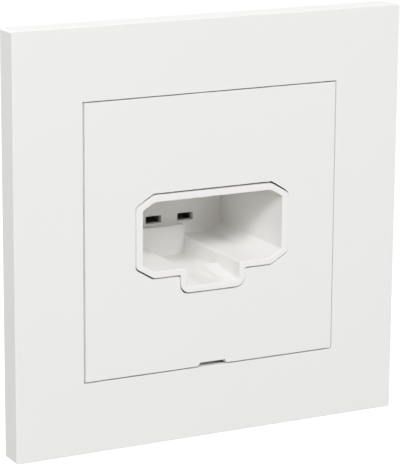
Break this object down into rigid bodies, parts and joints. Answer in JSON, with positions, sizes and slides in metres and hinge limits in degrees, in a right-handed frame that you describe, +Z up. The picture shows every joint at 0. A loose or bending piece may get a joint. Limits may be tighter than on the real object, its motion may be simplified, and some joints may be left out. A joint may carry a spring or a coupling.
{
  "type": "luminaire wall outlet",
  "caption": "Flush wall outlet for a luminaire plug: square frame and centre plate with a keyed, chamfered plug cavity, flat contact slots, screw terminals and a steel mounting plate.",
  "frame": {"origin": "on the wall's surface, at the middle of the wall box: the centre of the two side screw slots", "axes": "+Z up, +Y into the wall, -Y is the front that the user sees, +X to the right of a viewer in front of it"},
  "size_m": [0.085, 0.0397, 0.085],
  "materials": {
    "white_frame": "smooth white moulding, soft gloss",
    "white_plate": "smooth white moulding, soft gloss",
    "white_insert": "white moulding, satin inside the cavity",
    "housing_plastic": "light grey glass-filled moulding, matt",
    "zinc_steel": "bright zinc plating",
    "spring_steel": "bare spring steel",
    "screw_steel": "bright zinc plating",
    "brass": "bare rolled brass",
    "tinned_contact": "tin-plated copper alloy"
  },
  "bodies": {
    "root": {"cover_frame": "white_frame", "centre_plate": "white_plate", "socket_insert": "white_insert", "mounting_plate": "zinc_steel", "frame_clips": "spring_steel", "plate_rivets": "zinc_steel", "terminal_block": "housing_plastic", "rear_cover": "housing_plastic", "line_contact": "tinned_contact", "earth_contact": "tinned_contact", "neutral_contact": "tinned_contact", "line_terminal": "brass", "earth_terminal": "brass", "neutral_terminal": "brass", "contact_springs": "spring_steel", "pressure_plates": "zinc_steel", "terminal_screws": "screw_steel", "earth_strap": "brass", "insert_screws": "screw_steel", "rear_cover_screws": "screw_steel"}
  },
  "joints": []
}
